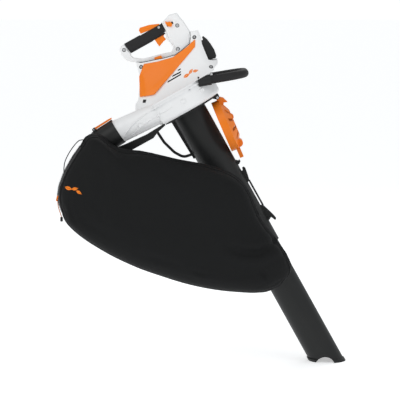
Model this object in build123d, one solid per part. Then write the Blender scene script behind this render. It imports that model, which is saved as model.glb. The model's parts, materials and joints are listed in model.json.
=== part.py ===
import os
from math import cos, radians, sin, tan

from build123d import *

# Leaf vacuum mulcher, millimetres. Two frames are used.
# Machine frame: +Z up the axis that fan, motor and suction tube share, +X from the outlet towards
# the battery, Y across. Row frame: +Z up, origin in the middle of the rear grip. The machine is
# stored as it is carried, with the suction tube leaning, so every rigid piece is drawn in the
# machine frame and tipped into the row frame by place().

# ---- driving dimensions -------------------------------------------------------------------
carry_tilt = 29.0            # how far the casing is tipped about Y when carried
axis_to_grip = 9.3           # fan axis ahead of the middle of the grip
floor_height = -1037.0       # level ground under the tube's tip, row frame
wall = 3.0                   # moulded plastic wall
gap = 0.4                    # clearance between bodies

grip_low, grip_high = -21.0, 16.0
grip_half_width = 17.0
core_low, core_high = -14.0, 9.0
core_half_width = 12.0
rail_half_width = 19.0
column_half_width = 27.0

housing_top, housing_bottom = -192.0, -263.0
impeller_radius = 88.0
scroll_radius = 106.0
scroll_step = 8.0
drum_rounding = 13.0
outlet_y = -85.0
duct_radius = 38.5
plate_bottom = -269.0

tube_radius = 55.0
lower_tube_radius = 50.0
tube_wall = 3.0
tube_joint = -765.0
tube_overlap = 32.0
tube_end = -1240.0
stay_radius = 4.5

battery_x = (45.0, 158.0)
battery_z = (-160.0, -94.0)
battery_half_width = 35.0
housing_split = -228.0

lever_pivot = (46.0, 8.0)
trigger_pivot = (50.0, -11.0)
screen_pivot = (101.0, -275.0)
latch_pivot = (62.0, 4.2)    # along and above the elbow's top line
mouth_turn = 4.0             # the outlet droops this much from the casing's own X
pin_radius = 2.0
running_fit = 0.05

shaft_radius = 5.0
bearing_radius = 9.0
intake_radius = 50.0
spigot_radius = 49.0

loop_slope = 19.4            # down towards the front, from the casing's own X
loop_root = (92.0, -205.0)
loop_reach = 128.0
loop_half_width = 92.0
loop_bar_radius = 13.5

screen_radius = 84.0
screen_depth = 24.0
screen_lean = 5.7
screen_place = (66.5, 0.0, -365.0)

elbow_x = -124.0             # row frame from here down
elbow_end = -372.0
tension_points = [(61.5, 0.0, -555.0), (61.5, 0.0, -648.0)]      # machine frame
cord_radius = 3.0
slider_place = (-269.0, -150.0, -492.0)
pull_radius = 1.25
pull_route = [
    (-267.5, -150.0, -497.0), (-267.5, -150.5, -511.0), (-264.5, -151.0, -525.0),
    (-260.0, -150.0, -538.0), (-256.5, -149.0, -551.0),
]
loop_cord_radius = 1.5
loop_route = [
    (-183.0, -152.0, -310.0), (-196.0, -153.0, -308.5), (-210.0, -154.0, -321.0), (-225.0, -155.0, -341.0),
    (-238.0, -155.0, -363.0), (-247.0, -154.0, -386.0), (-247.5, -153.0, -408.0),
]

screw_radius = 2.0
screw_head_radius = 3.4
handle_screw_places = [      # X, Z, Y of the head, length
    (-84, -1, -18, 30), (100, -15, -26, 46), (66, -80, -26, 46),
]
cover_screw_places = [(-62, -73, -36, 66), (129.5, -73, -36, 66), (131, -178, -76, 110)]
bag_sections = [(-62, 0.80), (-100, 0.97), (-160, 1.0), (-215, 0.9), (-245, 0.66)]
bag_points = [
    (-163, -289), (-198, -328), (-232, -380), (-256, -430), (-268, -484), (-252, -538),
    (-214, -582), (-149, -630), (-45, -686), (61, -726), (167, -757), (298, -775), (392, -773),
    (441, -750), (462, -716), (457, -688), (420, -627), (372, -563), (302, -430), (212, -388),
    (110, -368), (-6, -342), (-80, -335),
]

# ---- outlines in the machine frame, X and Z ------------------------------------------------
frame_outline = [
    (-78, 15), (-89, 14), (-97, 7), (-99, -15), (-94, -33), (-82, -46), (-70, -53),
    (-50, -63), (-21, -72), (10, -82), (50, -92), (73, -90), (107, -82), (123, -61),
    (126, -50), (123, -13), (117, 21), (93, 27), (74, 20), (61, 16), (61, 9), (-76, 9),
]
finger_gap = [
    (-72, -14), (-74, -29), (-70, -38), (-45, -55), (-8, -64), (29, -74), (41, -79),
    (49, -76), (55, -67), (54, -53), (50, -35), (56, -14),
]
column_outline = [
    (66, 17), (74, 20), (93, 27), (117, 21), (123, -13), (126, -50), (123, -61), (107, -82),
    (73, -90), (58, -91), (60, -67), (58, -53), (56, -35), (60, -14),
]
cover_outline = [
    (-70, -53), (-50, -63), (-21, -72), (10, -82), (50, -92), (73, -90), (107, -82),
    (123, -61), (126, -52), (150, -60), (147, -81), (140, -104), (137, -128), (134, -156),
    (150, -166), (160, -168), (154, -180), (136, -187), (134, -192), (-134, -192),
    (-144, -183), (-134, -166), (-121, -161), (-105, -137), (-90, -115), (-80, -97), (-75, -76),
]
panel_outline = [
    (-50, -69), (-9, -83), (41, -94.5), (92, -88), (129, -79), (117, -100), (-66, -168),
    (-111, -153), (-82, -96),
]
cover_sections = [            # height, low X, high X, half width, corner radius
    (-45, -76, 154, 31, 16),
    (-90, -86, 152, 46, 24),
    (-135, -110, 152, 62, 34),
    (-170, -140, 164, 82, 56),
    (-192, -150, 164, 108, 90),
]


def place(shape):
    """Tip a shape from the machine frame into the row frame."""
    return Rot(0, -carry_tilt, 0) * Pos(axis_to_grip, 0, 0) * shape


def to_row(x, y, z):
    """A point of the machine frame, in the row frame."""
    turn = radians(carry_tilt)
    ahead = x + axis_to_grip
    return (ahead * cos(turn) - z * sin(turn), y, ahead * sin(turn) + z * cos(turn))


def side_face(points, rounding=0.0):
    """A face in the XZ plane with its corners rounded."""
    face = make_face(Polyline(*points, close=True))
    if rounding > 0:
        face = fillet(face.vertices(), rounding)
    return Plane.XZ * face


def side_slab(points, low_y, high_y, rounding=0.0):
    """An XZ outline made solid between two values of Y."""
    return Pos(0, high_y, 0) * extrude(side_face(points, rounding), high_y - low_y)


def block(low, high):
    """A box between two corners."""
    size = [abs(high[i] - low[i]) for i in range(3)]
    middle = [(high[i] + low[i]) / 2 for i in range(3)]
    return Pos(*middle) * Box(*size)


def rod(radius, low_z, high_z, x=0.0, y=0.0):
    """A cylinder along Z."""
    return Pos(x, y, (low_z + high_z) / 2) * Cylinder(radius, high_z - low_z)


def cross_rod(radius, low_y, high_y, x, z):
    """A cylinder along Y."""
    return Pos(x, (low_y + high_y) / 2, z) * Rot(90, 0, 0) * Cylinder(radius, high_y - low_y)


def ring(outer, inner, low_z, high_z):
    """A tube along Z."""
    return rod(outer, low_z, high_z) - rod(inner, low_z - 1, high_z + 1)


def swept(points, radii, section):
    """A section swept along straight runs joined by arcs."""
    path = FilletPolyline(*points, radius=radii) if len(points) > 2 else Line(*points)
    profile = Plane(origin=path @ 0, z_dir=path % 0) * section
    return sweep(profile, path=path)


def cord_radii(points):
    """Arc radii for a cord's route, each as large as its two runs allow."""
    radii = []
    for before, corner, after in zip(points, points[1:], points[2:]):
        first = Vector(*corner) - Vector(*before)
        second = Vector(*after) - Vector(*corner)
        turn = radians(first.get_angle(second))
        radii.append(0.45 * min(first.length, second.length) / tan(turn / 2))
    return radii


near_half = block((-900, -400, -1500), (900, 0, 300))
far_half = block((-900, 0, -1500), (900, 400, 300))


# ---- rear handle ---------------------------------------------------------------------------
def lever_slot():
    """Room for the palm lever in the top of the grip."""
    return block((-19, -9.4, 0), (58, 9.4, 30))


def trigger_slot():
    """Room for the trigger in the underside of the grip."""
    return block((9, -8.4, -30), (60, 8.4, -3))


def handle_core():
    """The bar inside the grip."""
    return block((-80, -core_half_width, core_low), (64, core_half_width, core_high))


def handle_frame():
    """The whole loop of the rear handle before it is split."""
    flat = side_face(frame_outline, 3) - side_face(finger_gap, 4)
    rail = Pos(0, rail_half_width, 0) * extrude(flat, 2 * rail_half_width)
    ends = rail.faces().sort_by(Axis.Y)
    rail = fillet(ends[0].edges() + ends[-1].edges(), 3)
    column = side_slab(column_outline, -column_half_width, column_half_width, 3)
    ends = column.faces().sort_by(Axis.Y)
    column = fillet(ends[0].edges() + ends[-1].edges(), 6)
    bay = side_slab(
        [(72, 8), (92, 18), (109, 14), (114, -14), (116, -48), (103, -72), (74, -80), (68, -60), (66, -34), (72, -6)],
        -column_half_width + wall, column_half_width - wall, 2,
    )
    frame = rail + column
    frame = frame - block((-76, -40, core_low), (61, 40, 40)) - grip_form() + handle_core()
    return frame - lever_slot() - trigger_slot() - bay - release_track()


def release_track():
    """The slot the release slide runs in, through the near wall of the column."""
    return block((71, -40, -4), (93, -column_half_width + wall + 1, 4))


def grip_form():
    """The grip's outer form."""
    section = RectangleRounded(grip_high - grip_low, 2 * grip_half_width, 14)
    outer = Pos(0, 0, (grip_low + grip_high) / 2) * Rot(0, 90, 0) * extrude(section, 80, both=True)
    return outer & side_slab([(-76, 20), (61, 20), (63, 0), (52, grip_low - 1), (-70, grip_low - 1)], -40, 40)


def grip_pins():
    """The two pivot pins in the grip: the lever's head shows, the trigger's is under the rubber."""
    lever_pin = hinge_pin(*lever_pivot, 0.8 - grip_half_width, core_half_width)
    trigger_pin = hinge_pin(*trigger_pivot, -core_half_width, core_half_width)
    return lever_pin, trigger_pin


def grip_sleeve():
    """Soft rubber round the handle's bar."""
    lever_pin, trigger_pin = grip_pins()
    return grip_form() - handle_core() - lever_slot() - trigger_slot() - lever_pin - trigger_pin


def ergo_lever():
    """The palm lever on top of the grip, hinged at its front end."""
    side = [(-14, 18), (-14, 30), (-7, 36), (23, 29.5), (52, 17.5), (52, 5), (40, 4), (30, 12)]
    lever = side_slab(side, -8.8, 8.8, 1.5)
    ends = lever.faces().sort_by(Axis.Y)
    lever = fillet(ends[0].edges() + ends[-1].edges(), 1.4)
    x, z = lever_pivot
    return lever - cross_rod(pin_radius + running_fit, -20, 20, x, z) - spring_pocket(x, z)


def trigger():
    """The speed trigger under the grip, hinged at its front end."""
    side = [(15, -15), (17, -37), (18, -46), (36, -38.5), (47.5, -36), (45, -24), (54, -17), (54, -6), (44, -6)]
    body = side_slab(side, -8.0, 8.0, 1.2)
    ends = body.faces().sort_by(Axis.Y)
    body = fillet(ends[0].edges() + ends[-1].edges(), 1.2)
    x, z = trigger_pivot
    return body - cross_rod(pin_radius + running_fit, -20, 20, x, z) - spring_pocket(x, z)


def torsion_spring(x, z):
    """A close-wound torsion spring round a pivot pin, with one straight leg."""
    coils = ring(3.4, 2.4, -5, 5)
    for turn in range(4):
        coils = coils - ring(4.5, 3.0, -3.6 + 2.2 * turn, -3.2 + 2.2 * turn)
    leg = block((-14, -4.9, 2.5), (0, -4.1, 3.3))
    return Pos(x, 0, z) * (Rot(90, 0, 0) * coils + leg)


def spring_pocket(x, z):
    """Room in a lever for the spring on its pin and for the spring's leg."""
    return cross_rod(4.2, -5.8, 5.8, x, z) + block((x - 16, -5.8, z - 3), (x, -3.4, z + 8))


def release_slide():
    """The thumb slide that frees the lever, on the near side of the column."""
    foot = block((76, -column_half_width + 0.4, -3.6), (86, -column_half_width + wall + 4, 3.6))
    thumb = side_slab([(73, 17), (77, 9), (86, 7), (89, -3), (82, -10), (74, -4), (71, 6)],
                      -column_half_width - 6, -column_half_width - gap, 1.2)
    neck = block((76, -column_half_width - 1, -3.6), (86, -column_half_width + 1, 3.6))
    return thumb + neck + foot


# ---- motor covers and panels ---------------------------------------------------------------
def cover_body(inset):
    """The motor housing's outer form, smaller by inset all round."""
    sections = []
    for height, low_x, high_x, half_width, corner in cover_sections:
        flat = RectangleRounded(high_x - low_x - 2 * inset, 2 * (half_width - inset), corner - inset)
        sections.append(Pos((low_x + high_x) / 2, 0, height) * flat)
    outline = make_face(Polyline(*cover_outline, close=True))
    outline = fillet(outline.vertices(), 2.0)
    outline = offset(outline, -inset) if inset else outline
    side = extrude(Plane.XZ * outline, 200, both=True)
    return loft(sections) & side


def vent_slots(depth):
    """Three slanted slots, as cutters that reach through the side wall."""
    slots = [
        [(-14, -156), (36, -155), (40, -151), (-8, -152)],
        [(8, -147.5), (39, -148.5), (43, -144.5), (13, -143.5)],
        [(32, -139.5), (43, -140), (46, -136.5), (36, -136)],
    ]
    shapes = [side_slab(slot, -120, -depth, 0.8) for slot in slots]
    return shapes[0] + shapes[1] + shapes[2]


def motor_cover():
    """The hollow motor housing before it is split, with its battery bay open at the back."""
    low_z, high_z = battery_z
    shell = cover_body(0) - cover_body(wall)
    bay = block((40, -battery_half_width - 1, low_z - 1), (240, battery_half_width + 1, high_z + 1))
    shell = shell - bay - rod(46, housing_top - 1, housing_top + wall + 1)
    tab_slot = block((-13.6, -34.6, -100), (10.6, -21.4, -60))
    slots = vent_slots(40)
    return shell - slots - mirror(slots, Plane.XZ) - tab_slot


def side_panel():
    """A raised cover panel on the near side that follows the housing."""
    skin = cover_body(-3.2) - cover_body(0)
    return skin & side_slab(panel_outline, -200, -10, 1.5)


def battery_release():
    """The spring-loaded tab beside the handle's rail that frees the battery."""
    return side_slab([(-13, -93), (-13, -68), (10, -72), (10, -93)], -34, -22, 1.2)


# ---- battery -------------------------------------------------------------------------------
def battery_pack():
    """A slide-in battery with two guide grooves and a sloping rear face."""
    low_x, high_x = battery_x
    low_z, high_z = battery_z
    side = [(low_x, low_z), (low_x, high_z), (149, high_z), (150, -85), (155, -84), (161, -98), (164, -118),
            (165, -140), (162, -157), (156, -163), (146, low_z)]
    body = side_slab(side, -battery_half_width, battery_half_width, 2.5)
    ends = body.faces().sort_by(Axis.Y)
    body = fillet(ends[0].edges() + ends[-1].edges(), 2)
    for side_y in (-battery_half_width, battery_half_width):
        body = body - block((low_x - 1, side_y - 2.5, -125), (130, side_y + 2.5, -119))
    return body


def battery_guides():
    """Two rails that hold the battery by its grooves."""
    rails = []
    for sign in (-1, 1):
        inner = sign * (battery_half_width - 1.8)
        outer = sign * (battery_half_width + 40)
        low_y, high_y = min(inner, outer), max(inner, outer)
        rails.append(block((50, low_y, -124), (128, high_y, -120)))
    return rails


# ---- fan housing ---------------------------------------------------------------------------
def scroll_face(inset):
    """The fan housing's outline seen along the axis: three arcs that widen towards the outlet."""
    step = scroll_step
    radius = scroll_radius - inset
    first = CenterArc((step / 2, step), radius, 90, 90)
    second = CenterArc((step / 2, 0), radius + step, 0, 90)
    third = CenterArc((-step / 2, 0), radius + 2 * step, -90, 90)
    low_y = -radius - 2 * step
    closing = Polyline((-step / 2, low_y), (inset - 85, low_y), (inset - 101, -60), (step / 2 - radius, step))
    return make_face([*first.edges(), *second.edges(), *third.edges(), *closing.edges()])


def mouth_plane(distance=0.0):
    """The plane of the outlet's mouth, a given distance along the flow."""
    flow = radians(180 + mouth_turn)
    direction = (cos(flow), 0, sin(flow))
    start = (-229, outlet_y, -213)
    origin = tuple(start[i] + direction[i] * distance for i in range(3))
    return Plane(origin=origin, x_dir=(0, 1, 0), z_dir=direction)


def duct(radius, inset):
    """The outlet duct, from a rounded oblong in the drum to a round mouth."""
    inner_plane = Plane(origin=(-20, outlet_y + 2.6, (housing_top + housing_bottom) / 2),
                        x_dir=(0, 1, 0), z_dir=(-1, 0, 0))
    first = inner_plane * RectangleRounded(78 - 2 * inset, 66 - 2 * inset, 24 - inset)
    last = mouth_plane() * Circle(radius)
    return loft([first, last])


def fan_form(inset):
    """Drum and duct as one solid, smaller by inset. The drum's lower edge is rounded."""
    low, high = housing_bottom + inset, housing_top - inset
    drum = Pos(0, 0, low) * extrude(scroll_face(inset), high - low)
    drum = fillet(drum.faces().sort_by(Axis.Z)[0].edges(), drum_rounding - inset)
    return drum + duct(duct_radius - inset, inset)


def fan_housing():
    """The hollow fan housing before it is split, with its intake, shaft hole and mouth."""
    shell = fan_form(0) - fan_form(wall)
    mouth = mouth_plane(-3) * Cylinder(duct_radius - wall, 12)
    intake = rod(intake_radius, housing_bottom - 5, housing_bottom + 10)
    return shell - mouth - intake - rod(14, housing_top - 10, housing_top + 5)


def fan_flange():
    """The raised joint band round the top of the fan housing."""
    band = Pos(0, 0, housing_top - 12) * extrude(scroll_face(-5), 4)
    return band - Pos(0, 0, housing_top - 14) * extrude(scroll_face(0), 8) - duct(duct_radius + 0.2, -0.2)


# ---- motor, fan and shredder ---------------------------------------------------------------
def impeller():
    """A closed-back radial fan with eight backward-leaning blades."""
    wheel = rod(impeller_radius, -203, -200) + rod(17, -232, -203)
    outline = [(15, 0), (50, 8), (impeller_radius - 2, 26), (impeller_radius - 3, 29), (49, 11), (15, 3)]
    blade = Pos(0, 0, -242) * extrude(make_face(Polyline(*outline, close=True)), 40)
    for step in range(8):
        wheel = wheel + Rot(0, 0, 45 * step) * blade
    return wheel - rod(shaft_radius, -260, -190)


def shredder_blade():
    """A four-armed steel cutter on the fan's hub, in the mouth of the tube."""
    star = rod(15, -245.4, -242.2)
    arm = make_face(Polyline((0, -8), (40, -7), (45, 0), (40, 5), (0, 8), close=True))
    for step in range(4):
        star = star + Rot(0, 0, 90 * step) * Pos(0, 0, -245.4) * extrude(arm, 3.2)
    return star - rod(shaft_radius, -260, -190)


def hub_spacer():
    """The spacer on the shaft between the fan's hub and the cutter."""
    return ring(10, shaft_radius, -242.2, -232)


def rotor_nut():
    """The lock nut that holds fan and cutter on the shaft."""
    nut = Pos(0, 0, -252.4) * extrude(RegularPolygon(9, 6), 7)
    return nut - rod(shaft_radius, -260, -190)


def rotor_shaft():
    """The steel shaft from the top bearing to the nut."""
    return rod(shaft_radius, -256, -112)


def rotor_core():
    """The magnet rotor pressed on the shaft."""
    return ring(18, shaft_radius, -174, -141)


def motor_can():
    """The motor's aluminium case, open at the bottom, with cooling slots."""
    can = ring(36, 33.5, -189, -121) + ring(36, bearing_radius, -127, -121)
    for step in range(8):
        can = can - Rot(0, 0, 45 * step) * block((30, -3, -180), (40, 3, -140))
    return can


def stator():
    """Laminated stator ring with nine teeth."""
    core = ring(33.5, 27, -175, -140)
    for step in range(9):
        core = core + Rot(0, 0, 40 * step) * block((19, -3, -175), (28, 3, -140))
    return core - rod(19, -180, -130)


def stator_coils():
    """One copper coil on each stator tooth."""
    coil = block((20.5, -4.8, -179), (26, 4.8, -136)) - block((15, -3, -175), (30, 3, -140))
    return [Rot(0, 0, 40 * step) * coil for step in range(9)]


def motor_flange():
    """The plate that bolts the motor to the top of the fan housing."""
    plate = ring(46, bearing_radius, housing_top, -189)
    for step in range(4):
        plate = plate - Rot(0, 0, 45 + 90 * step) * rod(2.2, -195, -185, 41)
    return plate


def bearing(low_z):
    """A plain bearing ring with running clearance on the shaft."""
    return ring(bearing_radius, shaft_radius + running_fit, low_z, low_z + 6)


# ---- suction tube and what is fixed to it ----------------------------------------------------
def intake_plate():
    """The black plate under the fan housing, with the spigot that carries the tube."""
    plate = Pos(0, 0, plate_bottom) * extrude(scroll_face(20), housing_bottom - plate_bottom)
    plate = plate - rod(spigot_radius, -280, -250)
    spigot = ring(tube_radius - tube_wall, spigot_radius, -300, plate_bottom)
    lug = side_slab([(88, -263), (106, -263), (108, -272), (105, -280), (97, -280), (84, -269)], -24, 24, 1.5)
    slot = block((80, -14.4, -300), (120, 14.4, plate_bottom)) + block((92, -14.4, -300), (120, 14.4, -262))
    x, z = screen_pivot
    return plate + spigot + lug - slot - cross_rod(pin_radius, -30, 30, x, z)


def elbow_arm():
    """The curved strut from the intake plate to the outlet elbow."""
    side = [(-226, -260), (-244.5, -257), (-246, -262), (-231, -280), (-216, -286), (-135, -286), (-116, -277),
            (-83, plate_bottom), (-83, housing_bottom), (-150, -266)]
    return side_slab(side, -72, -52, 1)


def suction_tube_upper():
    """The wide tube from the fan housing down to the joint."""
    return ring(tube_radius, tube_radius - tube_wall, tube_joint, plate_bottom)


def tube_collar():
    """The ring inside the upper tube that grips the lower tube."""
    return ring(tube_radius - tube_wall, lower_tube_radius, tube_joint, tube_joint + tube_overlap)


def suction_tube_lower():
    """The narrow tube in the row frame, its tip cut level with the ground and notched."""
    tube = ring(lower_tube_radius, lower_tube_radius - tube_wall, tube_end, tube_joint + tube_overlap)
    lip = ring(lower_tube_radius + 3, lower_tube_radius - 1, tube_end, -1060)
    above = block((-900, -300, floor_height), (900, 300, 300))
    lip = place(lip) & block((-900, -200, floor_height), (900, 200, floor_height + 9))
    tip_x = to_row(0, 0, -1172)[0]
    notch = Pos(tip_x, 0, floor_height - 13) * Rot(90, 0, 0) * Cylinder(32, 300)
    return (place(tube) & above) + lip - notch


def tube_stay():
    """The bent bar between the intake plate and the tube, with its pad."""
    route = [(-121, 0, -266), (-117, 0, -318), (-104, 0, -362), (-86, 0, -390), (-53, 0, -396)]
    bar = swept(route, [60, 50, 28], Circle(stay_radius))
    pad = side_slab([(-60, -382), (-60, -410), (-50, -410), (-50, -382)], -10, 10, 1.5)
    leg = side_slab([(-66, -262), (-50, -262), (-50, -404), (-61, -398)], -stay_radius, stay_radius, 1)
    return bar + pad + leg - rod(tube_radius, -500, -200) - block((-200, -20, plate_bottom), (0, 20, -200))


def tube_hook():
    """A small moulded hook on the tube's outer side."""
    side = [(50, -476), (56, -478), (62, -484), (66, -481), (67, -489), (60, -494), (50, -496)]
    return side_slab(side, -5, 5, 0.8) - rod(tube_radius, -600, -400)


def strap_hook():
    """The clip on the tube that the bag's elastic hooks into."""
    side = [(50, -518), (59, -518), (61, -510), (67, -509), (70, -515), (67, -534), (63, -554), (55, -560), (50, -556)]
    return side_slab(side, -6, 6, 1.6) - rod(tube_radius, -700, -400)


def bag_bracket():
    """The lower clip on the tube, with the open hook that the bag hangs in."""
    side = [(50, -643), (62, -646), (68, -664), (76, -690), (79, -704), (73, -709), (66, -693), (58, -698), (50, -700)]
    return side_slab(side, -7, 7, 1.6) - rod(tube_radius, -800, -500)


def tension_cord():
    """The taut elastic between the two clips."""
    start, end = tension_points
    return rod(cord_radius, end[2], start[2], start[0])


# ---- front loop handle -----------------------------------------------------------------------
def loop_frame(shape):
    """Put a shape drawn along +X at the loop handle's root and slope."""
    x, z = loop_root
    return Pos(x, 0, z) * Rot(0, loop_slope, 0) * shape


def loop_handle():
    """The rubber-covered loop bar across the front of the casing."""
    width = loop_half_width
    route = [(12, -width, 0), (loop_reach, -width, 0), (loop_reach, width, 0), (12, width, 0)]
    return loop_frame(swept(route, [62, 62], Circle(loop_bar_radius)))


def loop_sockets(housing):
    """The two moulded sockets on the fan housing that hold the ends of the loop handle."""
    sockets = []
    for sign in (-1, 1):
        socket = Pos(1, sign * loop_half_width, 0) * Rot(0, 90, 0) * Cylinder(loop_bar_radius + 3, 40)
        bore = Pos(22, sign * loop_half_width, 0) * Rot(0, 90, 0) * Cylinder(loop_bar_radius, 20)
        sockets.append(loop_frame(socket - bore) - housing)
    return sockets


# ---- intake screen ---------------------------------------------------------------------------
def screen_frame(shape):
    """Put a shape drawn round +X, with its rim at X 0, in the screen's place beside the tube."""
    return Pos(*screen_place) * Rot(0, screen_lean, 0) * shape


def screen_cone(low):
    """The frustum of the screen's dome, round +X and starting at low."""
    cone = Cone(screen_radius, 42, 20, align=(Align.CENTER, Align.CENTER, Align.MIN))
    return Rot(0, 90, 0) * Pos(0, 0, low) * cone


def screen_lobes():
    """Rounded bosses on the dome, the largest at its lower end."""
    lobes = cross_rod(13, -26, 26, screen_depth + 7, -66) + cross_rod(10, -18, 18, screen_depth + 15, 20)
    return lobes + cross_rod(9, -14, 14, screen_depth + 4, 72)


def intake_screen():
    """The domed guard that swings over the intake when the tube is off."""
    turn = Rot(0, 90, 0)
    rim = turn * ring(screen_radius, screen_radius - 3, 0, screen_depth)
    dome = screen_cone(screen_depth) - screen_cone(screen_depth - 3.5)
    guard = rim + dome + turn * rod(42, screen_depth + 16.5, screen_depth + 20)
    for step in range(12):
        guard = guard - Rot(30 * step + 15, 0, 0) * block((screen_depth - 1, -5, 26), (screen_depth + 40, 5, 70))
    tab = block((screen_depth - 8, -20, -112), (screen_depth + 4, 20, -82))
    x, z = screen_pivot
    barrel = cross_rod(6, -14, 14, x, z)
    bridge = side_slab([(95.5, -276), (106.5, -276), (116, -284), (122, -303), (92, -292)], -14, 14)
    guard = screen_frame(guard + tab + screen_lobes()) + barrel + bridge
    return guard - cross_rod(pin_radius + running_fit, -30, 30, x, z)


# ---- outlet ----------------------------------------------------------------------------------
def elbow_start():
    """Where the elbow's centre line begins in the row frame, and the flow's direction there."""
    mouth = mouth_plane(-10).origin
    flow = radians(180 + mouth_turn + carry_tilt)
    return Vector(*to_row(mouth.X, mouth.Y, mouth.Z)), Vector(cos(flow), 0, sin(flow))


def elbow_pipe(radius):
    """A mitred bend of one radius: along the flow to the corner, then straight down."""
    start, flow = elbow_start()
    corner = start + flow * ((start.X - elbow_x) / -flow.X)
    down = Vector(0, 0, -1)
    mitre = Plane(origin=corner, z_dir=flow + down)
    first = Plane(origin=start, z_dir=flow) * extrude(Circle(radius), 160)
    second = Plane(origin=(elbow_x, outlet_y, elbow_end)) * extrude(Circle(radius), 160)
    before = mitre * Pos(0, 0, -300) * Box(600, 600, 600)
    after = mitre * Pos(0, 0, 300) * Box(600, 600, 600)
    return (first & before) + (second & after)


def outlet_elbow():
    """The pipe bend that turns the flow down into the bag, in the row frame."""
    outer = elbow_pipe(duct_radius + wall)
    socket = place(mouth_plane(-5) * Cylinder(duct_radius + 1.2, 10.4))
    bore = Pos(elbow_x, outlet_y, elbow_end) * Cylinder(duct_radius - 1, 8)
    return outer - elbow_pipe(duct_radius - 1) - socket - bore - place(fan_form(0))


def bag_ring():
    """The ring that clamps the bag's neck on the elbow, in the row frame."""
    body = Cylinder(duct_radius + wall + 5, 14) - Cylinder(duct_radius + wall, 20)
    return Pos(elbow_x, outlet_y, elbow_end + 10) * body


def latch_frame(shape):
    """Put a shape drawn along +X in the row frame's XZ plane on top of the elbow."""
    start, flow = elbow_start()
    rise = duct_radius + wall
    up = Vector(flow.Z, 0, -flow.X)
    up = up if up.Z > 0 else -up
    base = start + up * rise
    return Pos(base.X, outlet_y, base.Z) * Rot(0, 180 - mouth_turn - carry_tilt, 0) * Rot(180, 0, 0) * shape


def outlet_latch():
    """The lever over the elbow that locks it to the fan housing."""
    x, z = latch_pivot
    side = [(-2, 1.4), (-4, 5), (8, 6.5), (61, 7.5), (66, 6), (66, 3.2), (58, 1.4)]
    lever = side_slab(side, -11, 11, 0.9) + cross_rod(3.6, -11, 11, x, z)
    return latch_frame(lever - cross_rod(pin_radius + running_fit, -40, 40, x, z))


def latch_lugs():
    """The two ears on the elbow that carry the latch's pin."""
    x, z = latch_pivot
    ears = []
    for low_y in (-16, 11.4):
        ear = side_slab([(x - 6, -7), (x - 6, 6), (x - 3, 8.5), (x + 3, 8.5), (x + 5, 6), (x + 5, -7)],
                        low_y, low_y + 4.6, 1)
        ears.append(latch_frame(ear - cross_rod(pin_radius, -40, 40, x, z)) - elbow_pipe(duct_radius + wall))
    return ears


# ---- bag ---------------------------------------------------------------------------------------
def bag_outline(shrink):
    """The bag seen from the side in the row frame, drawn towards its middle by shrink."""
    middle_x, middle_z = 95.0, -570.0
    points = []
    for x, z in bag_points:
        points.append((middle_x + (x - middle_x) * shrink, middle_z + (z - middle_z) * shrink))
    return make_face(Spline(*points, periodic=True))


def catcher_bag():
    """The full fabric bag as a plain pillow that hangs beside the tube, in the row frame."""
    faces = [Pos(0, y, 0) * (Plane.XZ * bag_outline(shrink)) for y, shrink in bag_sections]
    body = loft(faces)
    elbow = Pos(elbow_x, outlet_y, elbow_end + 30) * Cylinder(duct_radius + wall + 5, 66)
    return body - elbow - elbow_pipe(duct_radius + wall + 0.5)


def zipper_slider():
    """The slider of the bag's emptying zipper, in the row frame."""
    x, y, z = slider_place
    body = Pos(x, y, z) * Rot(0, 12, 0) * Box(5, 11, 17)
    return fillet(body.edges().filter_by(Axis.Y, reverse=True), 1.2)


def pull_cord():
    """The short cord that hangs from the zipper's slider, in the row frame."""
    return swept(pull_route, cord_radii(pull_route), Circle(pull_radius))


def pull_knob():
    """The moulded toggle on the end of the pull cord, in the row frame."""
    x, y, z = pull_route[-1]
    knob = Pos(x, y, z - 7) * Cylinder(4, 14)
    return fillet(knob.edges(), 1.5)


def hand_loop():
    """The carrying loop of cord on the bag's upper edge, in the row frame."""
    return swept(loop_route, cord_radii(loop_route), Circle(loop_cord_radius))


# ---- electrics ---------------------------------------------------------------------------------
def controller_board():
    """The motor controller: a board, its heat sink and two capacitors, as separate solids."""
    board = block((-62, -30, -182), (-60.4, 30, -118))
    sink = block((-60.4, -24, -178), (-50, 0, -140))
    for step in range(4):
        sink = sink - block((-56, -21.5 + 6 * step, -179), (-49, -18.5 + 6 * step, -139))
    cans = [Pos(-54.4, 15, z) * Rot(0, 90, 0) * Cylinder(6, 12) for z in (-150, -168)]
    return [board, sink, *cans]


def switch_module():
    """The speed switch in the handle's column."""
    body = block((74, -11, -58), (98, 11, -22))
    plunger = block((71, -3, -30), (74, 3, -26))
    return body + plunger


def phase_wires():
    """Three wires from the controller to the motor."""
    wires = []
    for y in (-9, 0, 9):
        route = [(-61, y, -118), (-61, y, -108), (-29, y, -108), (-29, y, -121)]
        wires.append(swept(route, [6, 6], Circle(1.4)))
    return wires


def battery_contacts():
    """The contact block at the inner end of the battery bay."""
    body = block((37.5, -14, -142), (44.6, 14, -110))
    for step in range(4):
        body = body - block((41, -11 + 6 * step, -140), (45, -8 + 6 * step, -112))
    return body


# ---- fasteners and pins ------------------------------------------------------------------------
def side_screw(x, z, head_y, length):
    """One pan-head screw driven in from the near side, with a hexagonal socket."""
    head = cross_rod(screw_head_radius, head_y, head_y + 3.5, x, z)
    shank = cross_rod(screw_radius, head_y + 3.5, head_y + length, x, z)
    socket = Pos(x, head_y, z) * Rot(90, 0, 0) * extrude(RegularPolygon(1.9, 6), 2, both=True)
    return head + shank - socket


def screw_hole(x, z, head_y, length):
    """The hole and pocket for one side screw."""
    pocket = cross_rod(screw_head_radius + 0.8, -200, head_y, x, z)
    head = cross_rod(screw_head_radius, head_y - 1, head_y + 3.5, x, z)
    return pocket + head + cross_rod(screw_radius, head_y, head_y + length, x, z)


def side_screws(places):
    """A group of side screws as separate solids."""
    return [side_screw(*spot) for spot in places]


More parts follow.
